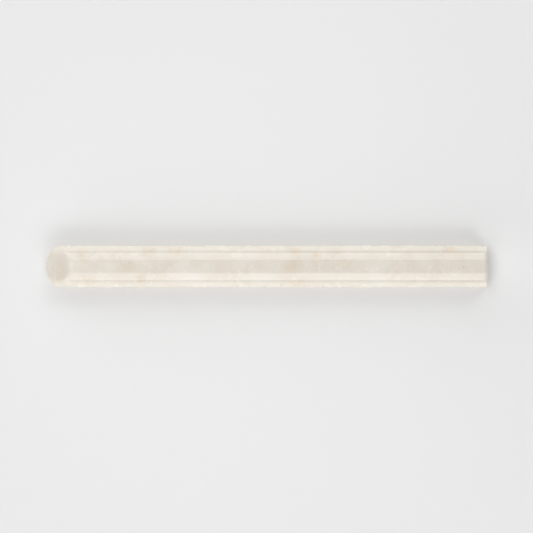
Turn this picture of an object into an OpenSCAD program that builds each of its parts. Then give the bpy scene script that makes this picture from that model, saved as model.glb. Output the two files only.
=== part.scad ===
// Pencil liner tile: one straight bar of polished stone with a flat sawn back.
// The face has a flat top, a sloped shoulder on each side and a rounded outer band.
// One end is rounded and slopes down to a thin edge. The other is cut square.
// X runs along the bar with the rounded end at -X, Y runs across it, Z up, back at Z = 0.

/* [Bar] */
// Length from the tip of the rounded end to the square cut
length = 305; // [150:1:600]
// Height from the back to the flat top
height = 16; // [13:0.1:22]

/* [Face across the bar] */
// Width of the flat top
flat_w = 9; // [6:0.1:13]
// Width of each sloped shoulder
shoulder_w = 5; // [4:0.1:6.5]
// Drop of each shoulder from the flat top to the crease where its band begins
shoulder_drop = 3.5; // [2:0.1:4.2]
// Radius of the slight swell of each shoulder
shoulder_r = 26; // [9:0.5:60]
// Width of each rounded outer band
band_w = 4.8; // [3.8:0.1:5.6]
// Radius of its rounding
band_r = 5.7; // [4.8:0.1:7]

/* [Rounded end] */
// Radius of the middle of the rounded end, seen from above
nose_r = 18; // [15.5:0.5:26]
// Radius of its two corners, seen from above
nose_corner_r = 6.2; // [4:0.1:8]
// Thickness of the edge at the tip
tip_h = 1.4; // [1:0.1:3]
// Slope of the end facet in degrees
facet_angle = 42; // [34:1:50]
// Radius of the facet's slight crown across the bar
facet_crown_r = 60; // [40:1:120]
// Radius of the facet's rounded long edges
facet_edge_r = 7.5; // [4:0.1:8.5]
// Radius of the roll from the facet onto the flat top
facet_roll_r = 8; // [5:0.5:12]

/* [Cut end] */
// Length of the eased edge round the raised part
ease_len = 1.9; // [1:0.1:2.5]
// Drop of that eased edge at the cut
ease_drop = 1; // [0.6:0.1:1.8]

/* [Hidden] */
$fn = 96;
// Room that cutting shapes stand clear of the bar
clear = 2;
// How far a rounding stays outside the flat it runs into
cross = 0.04;
half_l = length / 2;
raised_w = flat_w + 2 * shoulder_w;
width = raised_w + 2 * band_w;
half_w = width / 2;
// Top of the bands' rounding, which meets the foot of the shoulders a little lower
band_inset = max(0, band_r - band_w);
band_z = height - shoulder_drop + band_r - sqrt(band_r * band_r - band_inset * band_inset);
// Middle of each shoulder's arc, worked out from its two ends
shoulder_chord = norm([shoulder_w, shoulder_drop]);
shoulder_tilt = atan2(shoulder_drop, shoulder_w);
shoulder_depth = sqrt(shoulder_r * shoulder_r - shoulder_chord * shoulder_chord / 4);
shoulder_y = flat_w / 2 + shoulder_w / 2 - shoulder_depth * sin(shoulder_tilt);
shoulder_z = height - shoulder_drop / 2 - shoulder_depth * cos(shoulder_tilt);
// Where the corner arcs of the rounded end sit, so that they run on from its middle arc
corner_y = half_w - nose_corner_r;
corner_x = nose_r - sqrt(pow(nose_r - nose_corner_r, 2) - corner_y * corner_y);
// Where the facet would reach the flat top, and how far its cut runs up the slope
facet_run = (height - tip_h) / tan(facet_angle);
facet_reach = (height - tip_h + facet_edge_r) / sin(facet_angle) + clear;
roll_half = facet_roll_r * tan(facet_angle / 2);

// Lays a drawing in Y and Z out along X, from one X to another
module along(x0, x1) {
    translate([x0, 0, 0])
        rotate([90, 0, 90])
            linear_extrude(height = x1 - x0) children();
}

// Lays a drawing in X and Z out across the bar
module across(w) {
    translate([0, w / 2, 0])
        rotate([90, 0, 0])
            linear_extrude(height = w) children();
}

// Rectangle with its top middle at the origin and its two top corners rounded
module round_top(w, h, r) {
    translate([-w / 2, -h])
        square([w, h - r]);
    translate([r - w / 2, -h])
        square([w - 2 * r, h]);
    for (side = [-1, 1])
        translate([side * (w / 2 - r), -r])
            circle(r);
}

// The same with a crowned top, which the two rounded corners run on from
module crown_top(w, h, crown_r, r) {
    corner_mid = w / 2 - r;
    corner_top = sqrt(pow(crown_r - r, 2) - corner_mid * corner_mid) - crown_r;
    crown_half = corner_mid * crown_r / (crown_r - r);
    intersection() {
        translate([0, -crown_r]) circle(crown_r);
        translate([-crown_half, -h])
            square([2 * crown_half, h]);
    }
    translate([-w / 2, -h])
        square([w, h + corner_top]);
    for (side = [-1, 1])
        translate([side * corner_mid, corner_top])
            circle(r);
}

// Lower part with the two rounded outer bands
module band_shape() {
    translate([0, band_z])
        round_top(width, band_z, band_r);
}

// Raised part with its flat top and two swelled shoulders
module raised_shape() {
    intersection() {
        translate([-raised_w / 2, 0])
            square([raised_w, height]);
        intersection_for(side = [-1, 1])
            translate([side * shoulder_y, shoulder_z])
                circle(shoulder_r);
    }
}

// Wedge that eases one edge at the cut end, on a surface that tilts down to one side
module ease_wedge() {
    slope = ease_drop / ease_len;
    translate([half_l - ease_len, 0, 0])
        across(raised_w)
            polygon([
                [-clear, slope * clear],
                [ease_len + clear, -slope * (ease_len + clear)],
                [ease_len + clear, height],
                [-clear, height]
            ]);
}

// Raised part with its edges eased at the cut end
module raised() {
    difference() {
        along(-half_l - clear, half_l) raised_shape();
        translate([0, 0, height]) ease_wedge();
        for (side = [-1, 1])
            translate([0, side * flat_w / 2, height])
                rotate([-side * shoulder_tilt, 0, 0])
                    translate([0, side * raised_w / 2, cross]) ease_wedge();
    }
}

// Everything outside the middle arc of the rounded end, seen from above
module nose_cut() {
    translate([-half_l, 0, -clear])
        linear_extrude(height = height + 2 * clear)
            difference() {
                translate([-2 * clear, -half_w - clear])
                    square([corner_x + 2 * clear, width + 2 * clear]);
                translate([nose_r, 0]) circle(nose_r);
            }
}

// Everything outside one corner arc, from where it leaves the middle arc to the long side
module corner_cut() {
    lead = 3 * nose_corner_r / (nose_r - nose_corner_r);
    translate([-half_l, 0, -clear])
        linear_extrude(height = height + 2 * clear)
            difference() {
                polygon([
                    [corner_x, corner_y],
                    [corner_x + lead * (corner_x - nose_r), corner_y + lead * corner_y],
                    [corner_x, corner_y + lead * corner_y]
                ]);
                translate([corner_x, corner_y]) circle(nose_corner_r + cross);
            }
}

// Everything above the crowned end facet and its two rounded long edges
module facet_cut() {
    translate([-half_l, 0, tip_h])
        rotate([0, -facet_angle, 0])
            along(-height, facet_reach)
                difference() {
                    translate([-half_w - clear, -1.5 * facet_edge_r])
                        square([width + 2 * clear, 1.5 * facet_edge_r + height]);
                    crown_top(width + 2 * cross, 3 * facet_edge_r, facet_crown_r, facet_edge_r);
                }
}

// Everything above the roll from the facet onto the flat top
module roll_cut() {
    translate([facet_run - half_l, 0, height])
        across(width + 2 * clear)
            difference() {
                polygon([
                    [roll_half, 0],
                    [roll_half, clear],
                    [-roll_half, clear],
                    [-roll_half * cos(facet_angle), -roll_half * sin(facet_angle)]
                ]);
                translate([roll_half, -facet_roll_r]) circle(facet_roll_r + cross);
            }
}

module liner() {
    color([0.88, 0.85, 0.79])
        difference() {
            union() {
                along(-half_l - clear, half_l) band_shape();
                raised();
            }
            nose_cut();
            corner_cut();
            mirror([0, 1, 0]) corner_cut();
            facet_cut();
            roll_cut();
        }
}

liner();
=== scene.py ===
import math

import bpy
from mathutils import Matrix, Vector


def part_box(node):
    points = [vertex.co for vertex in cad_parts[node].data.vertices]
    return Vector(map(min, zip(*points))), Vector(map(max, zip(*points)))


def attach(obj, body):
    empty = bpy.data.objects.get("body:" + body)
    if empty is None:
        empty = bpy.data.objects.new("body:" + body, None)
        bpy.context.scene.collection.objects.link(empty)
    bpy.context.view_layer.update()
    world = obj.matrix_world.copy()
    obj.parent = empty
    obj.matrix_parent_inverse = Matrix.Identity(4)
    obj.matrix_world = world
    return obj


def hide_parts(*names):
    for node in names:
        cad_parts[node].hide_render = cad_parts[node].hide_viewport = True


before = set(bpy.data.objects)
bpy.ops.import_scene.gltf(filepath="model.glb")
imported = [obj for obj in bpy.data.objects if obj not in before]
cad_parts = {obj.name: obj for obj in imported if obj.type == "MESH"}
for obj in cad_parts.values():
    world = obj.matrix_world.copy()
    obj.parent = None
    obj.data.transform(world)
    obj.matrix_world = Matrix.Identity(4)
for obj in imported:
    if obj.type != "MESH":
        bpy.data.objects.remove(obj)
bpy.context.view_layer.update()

# The liner is one bar of cream marble, sawn flat behind, whose moulded face is ground along its
# whole length: a flat top, a shoulder down each side and a rounded outer band. One end is ground
# to a slope with a thin rounded tip, the other is sawn square, and all but the saw cuts is polished.


class Wire:
    """A node's socket that can stand in a sum."""

    def __init__(self, net, socket):
        self.net, self.socket = net, socket

    def sum(self, operation, *others):
        return self.net.add("ShaderNodeMath", {"operation": operation}, dict(enumerate([self, *others])))

    def __add__(self, other):
        return self.sum("ADD", other)

    def __sub__(self, other):
        return self.sum("SUBTRACT", other)

    def __rsub__(self, other):
        return self.net.add("ShaderNodeMath", {"operation": "SUBTRACT"}, {0: other, 1: self})

    def __mul__(self, other):
        return self.sum("MULTIPLY", other)

    def __truediv__(self, other):
        return self.sum("DIVIDE", other)

    def __lt__(self, other):
        return self.sum("LESS_THAN", other)

    def __gt__(self, other):
        return self.sum("GREATER_THAN", other)

    def __abs__(self):
        return self.sum("ABSOLUTE")

    def low(self, other):
        return self.sum("MINIMUM", other)

    def high(self, other):
        return self.sum("MAXIMUM", other)

    def clamp(self):
        return self.low(1.0).high(0.0)

    def root(self):
        return self.high(0.0).sum("SQRT")

    __radd__ = __add__
    __rmul__ = __mul__


class Net:
    """A node tree that is being filled."""

    def __init__(self, tree):
        self.tree = tree

    def add(self, kind, settings=None, values=None, out=0):
        node = self.tree.nodes.new(kind)
        for name, value in (settings or {}).items():
            if name == "capture":
                node.capture_items.new(*value)
            elif name == "stops":
                stops = node.color_ramp.elements
                while len(stops) < len(value):
                    stops.new(0.5)
                for stop, (place, colour) in zip(stops, value):
                    stop.position, stop.color = place, (*colour, 1.0)
            else:
                setattr(node, name, value)
        for key, value in (values or {}).items():
            if isinstance(value, Wire):
                self.tree.links.new(value.socket, node.inputs[key])
            else:
                node.inputs[key].default_value = value
        return Wire(self, node.outputs[out]) if len(node.outputs) else None

    def beside(self, wire, out):
        """Another output of the node that a wire comes from."""
        return Wire(self, wire.socket.node.outputs[out])


def arc(centre, radius, start, end, count):
    """Points on a round stretch of the section, from one angle to another."""
    angles = [math.radians(start + (end - start) * i / count) for i in range(count + 1)]
    return [(centre[0] + radius * math.cos(a), centre[1] + radius * math.sin(a)) for a in angles]


def above(centre_a, radius_a, centre_b, radius_b):
    """The upper crossing of two circles."""
    ab = Vector(centre_b) - Vector(centre_a)
    along = (radius_a ** 2 - radius_b ** 2 + ab.length_squared) / (2 * ab.length)
    up = math.sqrt(radius_a ** 2 - along ** 2)
    step = ab.normalized()
    return Vector(centre_a) + along * step + up * math.copysign(1, step.x) * Vector((-step.y, step.x))


def bearing(centre, point):
    """The angle at which a point lies from a centre."""
    return math.degrees(math.atan2(point[1] - centre[1], point[0] - centre[0]))


# Sizes of the section in millimetres: the overall ones come from the frame, and the small radii
# are what polishing leaves on each edge
stone_low, stone_high = (Vector(corner) * 1000 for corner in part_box("liner"))
length, width, height = (round(side, 1) for side in stone_high - stone_low)
half_w = width / 2
flat_w, shoulder_w, shoulder_drop, shoulder_r, band_r = 9.0, 5.0, 3.5, 26.0, 5.7
arris_r, foot_r, back_r = 1.5, 0.25, 0.35
raised_half_w = flat_w / 2 + shoulder_w
band_w = half_w - raised_half_w
crease_z = height - shoulder_drop

# Each shoulder swells between the edge of the flat top and the crease, where a small fillet leads
# into the band, and the band rounds off from there to the side
chord = math.hypot(shoulder_w, shoulder_drop)
tilt = math.atan2(shoulder_drop, shoulder_w)
depth = math.sqrt(shoulder_r ** 2 - chord ** 2 / 4)
swell_y = flat_w / 2 + shoulder_w / 2 - depth * math.sin(tilt)
swell_z = height - shoulder_drop / 2 - depth * math.cos(tilt)
swell = (swell_y, swell_z)
arris_z = height - arris_r
arris = (swell_y + math.sqrt((shoulder_r - arris_r) ** 2 - (arris_z - swell_z) ** 2), arris_z)
band = (half_w - band_r, crease_z - math.sqrt(band_r ** 2 - (band_r - band_w) ** 2))
foot = above(band, band_r + foot_r, swell, shoulder_r + foot_r)

flat_steps, side_steps, back_steps = 5, 6, 8
half = [(arris[0] * i / flat_steps, height) for i in range(flat_steps)]
half += arc(arris, arris_r, 90, bearing(swell, arris), count=4)
half += arc(swell, shoulder_r, bearing(swell, arris), bearing(swell, foot), count=12)[1:]
half += arc(foot, foot_r, bearing(foot, swell) % 360, bearing(foot, band) % 360, count=4)[1:]
half += arc(band, band_r, bearing(band, foot), 0, count=22)[1:]
half += [(half_w, back_r + (band[1] - back_r) * i / side_steps) for i in range(side_steps - 1, 0, -1)]
half += arc((half_w - back_r, back_r), back_r, 0, -90, count=4)
half += [((half_w - back_r) * i / back_steps, 0.0) for i in range(back_steps - 1, -1, -1)]
section = half + [(-y, z) for y, z in half[-2:0:-1]]

outline = bpy.data.meshes.new("liner_section")
outline.from_pydata([(y / 1000, z / 1000, 0) for y, z in section],
                    [(i, (i + 1) % len(section)) for i in range(len(section))], [])

# The tree runs the section along the bar and works its two ends
grinding = bpy.data.node_groups.new("run_the_liner", "GeometryNodeTree")
grinding.interface.new_socket("Geometry", in_out="OUTPUT", socket_type="NodeSocketGeometry")
grinding.interface.new_socket("Geometry", in_out="INPUT", socket_type="NodeSocketGeometry")
liner_sizes = {
    "Length": length, "Half width": half_w, "Crease height": crease_z, "Side height": band[1],
    "Nose radius": 18.0, "Corner radius": 6.2, "Tip thickness": 1.4, "Tip edge radius": 0.6,
    "Facet slope": 42.0, "Facet crown radius": 60.0, "Facet edge radius": 7.5, "Facet roll": 3.0,
    "Ease length": 1.9, "Ease drop": 1.0, "Cut edge radius": 0.3,
}
sockets = {name: grinding.interface.new_socket(name, in_out="INPUT", socket_type="NodeSocketFloat")
           for name in liner_sizes}
stone_socket = grinding.interface.new_socket("Stone", in_out="INPUT", socket_type="NodeSocketMaterial")
net = Net(grinding)
given = net.add("NodeGroupInput")
size = {name: net.beside(given, name) for name in liner_sizes}

# Rows of the mesh along the bar: close together at the tip and at the cut, wide between
tip_rows, run_rows, ease_rows, round_rows, cap_rows = 80, 24, 14, 5, 3
run_start = tip_rows
ease_start = run_start + run_rows
round_start = ease_start + ease_rows
cap_start = round_start + round_rows
tip_zone, ease_zone = 28.0, 4.0
row_gap = 0.001

loop = net.add("GeometryNodeCaptureAttribute", {"capture": ("VECTOR", "Place")},
               {"Geometry": given, 1: net.add("GeometryNodeInputPosition")})
place = net.beside(loop, 1)
line = net.add("GeometryNodeMeshLine", {}, {
    "Count": cap_start + cap_rows + 1, "Offset": (row_gap, 0.0, 0.0)})
line = net.add("GeometryNodeCaptureAttribute", {"capture": ("FLOAT", "Row")},
               {"Geometry": line, 1: net.add("GeometryNodeInputIndex")})
row = net.beside(line, 1)
swept = net.add("GeometryNodeCurveToMesh", {}, {
    "Curve": net.add("GeometryNodeMeshToCurve", {}, {"Mesh": line}),
    "Profile Curve": net.add("GeometryNodeMeshToCurve", {}, {"Mesh": loop})})
parts = net.add("ShaderNodeSeparateXYZ", {}, {0: place})
section_y = parts * 1000
section_z = net.beside(parts, 1) * 1000

# Distance of each row from the tip, and how far the rounded edge of the cut draws it in
near_tip = (row / run_start).clamp()
along_run = ((row - run_start) / run_rows).clamp()
near_cut = ((row - ease_start) / ease_rows).clamp()
turn = ((row - round_start) / round_rows).clamp() * (math.pi / 2)
cap = ((row - cap_start) / cap_rows).clamp()
from_tip = (near_tip * near_tip * tip_zone
            + along_run * (size["Length"] - (tip_zone + ease_zone))
            + near_cut * (ease_zone - size["Cut edge radius"])
            + turn.sum("SINE") * size["Cut edge radius"])
inset = (1 - turn.sum("COSINE")) * size["Cut edge radius"]

# Half the width left by the rounded end, seen from above: a middle arc that runs into a corner arc
nose, corner = size["Nose radius"], size["Corner radius"]
corner_y = size["Half width"] - corner
corner_x = nose - ((nose - corner) * (nose - corner) - corner_y * corner_y).root()
meet = nose - nose * (nose - corner_x) / (nose - corner)
middle_arc = (from_tip * (2 * nose - from_tip)).root()
to_side = (corner_x - from_tip).high(0.0)
corner_arc = corner_y + (corner * corner - to_side * to_side).root()
in_middle = from_tip < meet
reach = in_middle * middle_arc + (1 - in_middle) * corner_arc
across = section_y * reach / size["Half width"]

# Height of the end facet: a slope that is crowned across, with rounded long edges and a softened tip
slope = size["Facet slope"] * (math.pi / 180)
crown, edge = size["Facet crown radius"], size["Facet edge radius"]
edge_y = size["Half width"] - edge
edge_dip = crown - ((crown - edge) * (crown - edge) - edge_y * edge_y).root()
out_y = abs(across)
past = (out_y - edge_y).high(0.0).low(edge)
on_edge = out_y > edge_y * crown / (crown - edge)
crown_drop = crown - (crown * crown - out_y * out_y).root()
edge_drop = edge_dip - (edge * edge - past * past).root()
side_drop = (on_edge * edge_drop + (1 - on_edge) * crown_drop) / slope.sum("COSINE")
lip = size["Tip edge radius"]
past_lip = (out_y - (reach - lip)).high(0.0).low(lip)
lip_drop = lip - (lip * lip - past_lip * past_lip).root()
thinnest = 0.3
facet = size["Tip thickness"] + from_tip * slope.sum("TANGENT") - side_drop - lip_drop
facet = facet.high(thinnest)

# The face is lowered to the facet, and its raised middle is eased at the cut
face = section_z.high(size["Side height"])
lowered = face.sum("SMOOTH_MIN", facet, size["Facet roll"])
to_cut = size["Length"] - from_tip
ease = (1 - to_cut / size["Ease length"]).clamp() * size["Ease drop"]
lowered = (lowered - ease).high(lowered.low(size["Crease height"]))
up = section_z * lowered / face

# Each row is drawn in about its middle by the rounded edge of the cut, a point at the full distance
# by the whole inset, and the last rows close the end
full_distance, middle_share = 10, 0.8
shrink = (1 - inset / full_distance) * (1 - cap)
middle_z = size["Side height"] * middle_share
point = net.add("ShaderNodeCombineXYZ", {}, {
    0: (from_tip - size["Length"] / 2) / 1000,
    1: across * shrink / 1000,
    2: (middle_z + (up - middle_z) * shrink) / 1000})
merge_gap, sharp_angle = 0.000004, math.radians(35)
shaped = net.add("GeometryNodeSetPosition", {}, {"Geometry": swept, "Position": point})
shaped = net.add("GeometryNodeMergeByDistance", {}, {"Geometry": shaped, "Distance": merge_gap})
shaped = net.add("GeometryNodeFlipFaces", {}, {"Mesh": shaped})
sharp = net.add("GeometryNodeInputMeshEdgeAngle") > sharp_angle
shaped = net.add("GeometryNodeSetShadeSmooth", {"domain": "EDGE"},
                 {"Geometry": shaped, "Selection": sharp, "Shade Smooth": False})
shaped = net.add("GeometryNodeRealizeInstances", {}, {0: shaped})
shaped = net.add("GeometryNodeSetMaterial", {}, {
    "Geometry": shaped, "Material": net.beside(given, "Stone")})
net.add("NodeGroupOutput", {}, {0: shaped})

# Cream marble: a pale ground that is mottled all through, with soft tan clouds, a few paler ones,
# faint thin veins and small pits. The polish is even, and the saw cuts are left dull and lined.
marble = bpy.data.materials.new("cream_marble")
marble.use_nodes = True
marble.node_tree.nodes.clear()
net = Net(marble.node_tree)
spot = net.add("ShaderNodeTexCoord", out="Object")
spot = net.add("ShaderNodeVectorMath", {"operation": "SCALE"}, {0: spot, "Scale": 1000.0})


def mottle(where, grain_size, detail, rough=0.5, out=0):
    """Soft noise from 0 to 1 whose lumps are about as long as the grain size, in millimetres."""
    return net.add("ShaderNodeTexNoise", {}, {
        "Vector": where, "Scale": 1 / grain_size, "Detail": detail, "Roughness": rough}, out)


def lumps(where, places):
    """The sum of soft round lumps, each with its place, its half sizes and its strength."""
    below_face, deeper = 2, 4
    total = None
    for along, aside, half_length, half_width, strength in places:
        offset = net.add("ShaderNodeVectorMath", {"operation": "SUBTRACT"}, {
            0: where, 1: (along - length / 2, aside, height - below_face)})
        offset = net.add("ShaderNodeVectorMath", {"operation": "DIVIDE"}, {
            0: offset, 1: (half_length, half_width, half_width + deeper)})
        away = net.add("ShaderNodeVectorMath", {"operation": "LENGTH"}, {0: offset}, out="Value")
        lump = (1 - away).clamp() * strength
        total = lump if total is None else total + lump
    return total


# The edges of the clouds wander by up to half the drift, in millimetres
drift = 7.0
wander = mottle(spot, 12.0, 2.0, out="Color")
wander = net.add("ShaderNodeVectorMath", {"operation": "SUBTRACT"}, {0: wander, 1: (0.5, 0.5, 0.5)})
wander = net.add("ShaderNodeVectorMath", {"operation": "SCALE"}, {0: wander, "Scale": drift})
drifted = net.add("ShaderNodeVectorMath", {"operation": "ADD"}, {0: spot, 1: wander})

# Clouds that show on this bar, in millimetres from its tip and from its middle line
tan_clouds = [
    (12, -1, 9, 14, 0.3), (26, 8, 6, 7, 0.6), (28, -9, 8, 7, 0.6), (34, 0, 5, 5, 0.4),
    (53, -11, 8, 5, 0.3), (59, 0, 8, 6, 1.0), (66, -7, 5, 4, 0.4), (67, -11, 6, 5, 0.5),
    (70, 12, 7, 5, 0.8), (72, 7, 5, 4, 0.5), (86, 1, 7, 6, 0.5), (91, 12, 6, 5, 0.6),
    (92, 7, 4, 4, 0.4), (121, 0, 5, 5, 0.4), (147, 0, 4, 4, 0.3), (168, -7, 8, 5, 0.3),
    (171, 1, 9, 7, 1.0), (171, 12, 7, 5, 1.0), (173, 7, 8, 5, 0.4), (175, -12, 10, 4, 0.5),
    (188, 7, 5, 4, 1.0), (191, 0, 9, 6, 0.6), (208, 1, 5, 5, 0.5), (251, 7, 6, 5, 0.6),
    (256, 0, 6, 6, 0.5), (266, 8, 10, 8, 0.3), (279, 12, 6, 5, 1.0), (288, 7, 6, 5, 0.5),
    (288, 0, 6, 6, 0.4),
]
pale_clouds = [
    (19, 0, 6, 6, 0.5), (42, 7, 4, 4, 0.4), (45, 1, 6, 6, 0.7), (96, 0, 7, 6, 0.7),
    (99, -7, 12, 6, 0.9), (101, 12, 9, 4, 0.4), (104, 7, 8, 5, 0.5), (105, -12, 10, 5, 0.6),
    (113, 0, 5, 5, 0.5), (120, -12, 20, 5, 0.3), (124, 12, 18, 5, 0.4), (134, 7, 8, 5, 0.5),
    (135, 0, 8, 6, 0.7), (146, -7, 14, 5, 0.4), (157, 0, 8, 6, 0.3), (209, 12, 7, 4, 0.5),
    (216, 7, 9, 5, 0.6), (225, -12, 16, 5, 0.3), (227, 0, 14, 7, 0.6), (231, -7, 10, 5, 0.4),
]
vein_sharpness = 80
veins = mottle(drifted, 16.0, 2.0)
veins = (1 - abs(veins - 0.5) * vein_sharpness).clamp()
broad = mottle(drifted, 14.0, 4.0) - 0.5
fine = mottle(spot, 2.6, 3.0, 0.6) - 0.5

# How much each of them shifts the tone, along which the colours run
plain_tone, broad_shift, fine_shift, vein_shift, tan_shift, pale_shift = 0.5, 0.6, 0.34, 0.08, 0.5, 0.4
tone = (plain_tone + broad * broad_shift + fine * fine_shift + veins * vein_shift
        + lumps(drifted, tan_clouds) * tan_shift - lumps(drifted, pale_clouds) * pale_shift)
stone = net.add("ShaderNodeValToRGB", {"stops": [
    (0.0, (0.852, 0.812, 0.746)), (0.45, (0.797, 0.745, 0.662)), (0.75, (0.762, 0.683, 0.574)),
    (1.0, (0.715, 0.598, 0.45))]}, {0: tone.clamp()})

# The stone is painted a little darker and greyer towards the cut end: partly its own greyer tone, partly
# painted shade where the light falls off at that end
cut_end_grey_and_painted_shade = lumps(spot, [(300, 0, 60, 60, 0.06)])
stone = net.add("ShaderNodeMix", {"data_type": "RGBA"}, {
    "Factor": cut_end_grey_and_painted_shade, 6: stone, 7: (0.42, 0.4, 0.37, 1)}, out=2)

# Pits are rare: one that shows near the cut end, and a cell here and there
cell_size, rare_above, pit_sharpness, cell_strength, pit_stain = 6.0, 0.8, 14, 0.7, 0.9
pit = lumps(spot, [(288.4, -0.4, 1.3, 1.1, 1.0)])
cell = net.add("ShaderNodeTexVoronoi", {}, {"Vector": spot, "Scale": 1 / cell_size}, out="Distance")
rare = net.add("ShaderNodeSeparateColor", {}, {0: net.beside(cell, "Color")}) > rare_above
pit = pit.high((1 - cell * pit_sharpness).clamp() * rare * cell_strength)
stone = net.add("ShaderNodeMix", {"data_type": "RGBA"}, {
    "Factor": (pit * pit_stain).clamp(), 6: stone, 7: (0.42, 0.36, 0.26, 1)}, out=2)

# The back and the cut end still carry the arcs of the saw blade
saw_skin, saw_pitch, saw_waver, blade_middle = 0.06, 1.3, 6, (-90.0, 260.0, 150.0)
sides = net.add("ShaderNodeSeparateXYZ", {}, {0: spot})
sawn = (net.beside(sides, 2) < saw_skin).high(sides > length / 2 - saw_skin)
from_blade = net.add("ShaderNodeVectorMath", {"operation": "SUBTRACT"}, {0: spot, 1: blade_middle})
arcs = net.add("ShaderNodeVectorMath", {"operation": "LENGTH"}, {0: from_blade}, out="Value")
arcs = (arcs * (2 * math.pi / saw_pitch) + mottle(spot, 9.0, 2.0) * saw_waver).sum("SINE")

# Heights of the relief in millimetres, and what makes the polish duller
arc_height, grit_height, pit_depth, ripple_height = 0.02, 0.03, 0.06, 0.008
polish_rough, rough_spread, saw_rough, pit_rough = 0.27, 0.06, 0.4, 0.3
relief = (arcs * sawn * arc_height + mottle(spot, 0.5, 2.0) * sawn * grit_height
          - pit * pit_depth + mottle(spot, 5.0, 2.0) * ripple_height)
dull = (polish_rough + (mottle(spot, 11.0, 3.0) - 0.5) * rough_spread
        + sawn * saw_rough + pit * pit_rough)
polish = net.add("ShaderNodeBsdfPrincipled", {}, {
    "Base Color": stone, "Roughness": dull.clamp(), "IOR": 1.58,
    "Normal": net.add("ShaderNodeBump", {}, {"Strength": 1.0, "Distance": 0.001, "Height": relief})})
net.add("ShaderNodeOutputMaterial", {}, {0: polish})

liner = bpy.data.objects.new("liner_stone", outline)
bpy.context.collection.objects.link(liner)
run = liner.modifiers.new("run", "NODES")
run.node_group = grinding
for name, socket in sockets.items():
    run[socket.identifier] = float(liner_sizes[name])
run[stone_socket.identifier] = marble
shape = bpy.data.meshes.new_from_object(liner.evaluated_get(bpy.context.evaluated_depsgraph_get()))
liner.modifiers.remove(run)
liner.data = shape
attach(liner, "root")
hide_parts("liner")

# The floor is one sheet of pale matt paper, six metres wide, laid flat under the bar. Its colour is
# painted a little darker away from the bar, and sooner on the cut end's side: painted shade, where the
# light falls off.
floor_mesh = bpy.data.meshes.new("floor")
floor_mesh.from_pydata([(-3, -3, 0), (3, -3, 0), (3, 3, 0), (-3, 3, 0)], [], [(0, 1, 2, 3)])
floor = bpy.data.objects.new("floor", floor_mesh)
bpy.context.collection.objects.link(floor)
paper = bpy.data.materials.new("paper")
paper.use_nodes = True
paper.node_tree.nodes.clear()
net = Net(paper.node_tree)
# Painted shade on the paper: lightest round a middle a little towards the tip, darker outwards
painted_light_middle, painted_shade_start, painted_shade_run = (-0.04, 0.0, 0.0), 0.08, 0.17
on_paper = net.add("ShaderNodeTexCoord", out="Object")
spread = net.add("ShaderNodeVectorMath", {"operation": "DISTANCE"}, {
    0: on_paper, 1: painted_light_middle}, out="Value")
spread = (spread - painted_shade_start) / painted_shade_run
paper_with_painted_shade = net.add("ShaderNodeMix", {"data_type": "RGBA"}, {
    "Factor": spread.clamp(), 6: (0.86, 0.86, 0.86, 1), 7: (0.828, 0.828, 0.828, 1)}, out=2)
matt = net.add("ShaderNodeBsdfPrincipled", {}, {"Base Color": paper_with_painted_shade, "Roughness": 0.9})
net.add("ShaderNodeOutputMaterial", {}, {0: matt})
floor_mesh.materials.append(paper)

# Soft boxes stand in a ring round the bar and face its middle. Low ones light both sides and the
# tip, half-high ones both sides and the cut end, and high ones the tip and the top from overhead.
# Each has its bearing from +X and its height in degrees, its width and height in metres, its power.
box_distance = 2.6
for name, bearing_deg, raised_deg, wide, tall, power in (
        ("back_low", 90, 10, 1.7, 0.8, 9.4), ("front_low", 270, 10, 1.7, 0.8, 9.3),
        ("back_left", 130, 12, 1.9, 0.8, 17.1), ("front_left", 233, 12, 1.9, 0.8, 16.6),
        ("back_mid", 95, 30, 1.6, 0.8, 8.8), ("front_mid", 265, 30, 1.6, 0.8, 8.6),
        ("back_right", 52, 30, 1.4, 0.8, 17.4), ("front_right", 308, 30, 1.4, 0.8, 21.1),
        ("back_high", 125, 50, 1.8, 1.0, 11.7), ("front_high", 240, 50, 1.8, 1.0, 10.7),
        ("over_left", 180, 70, 1.6, 1.0, 9.7), ("over_front", 270, 70, 1.6, 1.0, 3.3),
        ("over_back", 90, 70, 1.6, 1.0, 1.4)):
    turn_z, rise = math.radians(bearing_deg), math.radians(raised_deg)
    level = math.cos(rise)
    stand = box_distance * Vector((level * math.cos(turn_z), level * math.sin(turn_z), math.sin(rise)))
    data = bpy.data.lights.new(name, "AREA")
    data.shape, data.size, data.size_y, data.energy = "RECTANGLE", wide, tall, power
    lamp = bpy.data.objects.new(name, data)
    lamp.location = stand
    lamp.rotation_euler = (-stand).to_track_quat("-Z", "Y").to_euler()
    bpy.context.collection.objects.link(lamp)

# The room adds a faint even light
world = bpy.data.worlds.new("room")
world.use_nodes = True
world.node_tree.nodes["Background"].inputs["Color"].default_value = (1, 1, 1, 1)
world.node_tree.nodes["Background"].inputs["Strength"].default_value = 0.03
bpy.context.scene.world = world

# The camera looks straight down, a little to the cut end's side of the middle, and the bar takes up
# as much of its view as in the photograph
picture_px, bar_px = 533, 441.2
camera_x, camera_height, face_height = 0.0002, 2.2, 0.008
view_width = length / 1000 * picture_px / bar_px
camera_data = bpy.data.cameras.new("camera")
camera_data.sensor_width = 36
camera_data.lens = camera_data.sensor_width * (camera_height - face_height) / view_width
camera = bpy.data.objects.new("camera", camera_data)
camera.location = (camera_x, 0, camera_height)
bpy.context.collection.objects.link(camera)
bpy.context.scene.camera = camera
bpy.context.scene.view_settings.view_transform = "Standard"
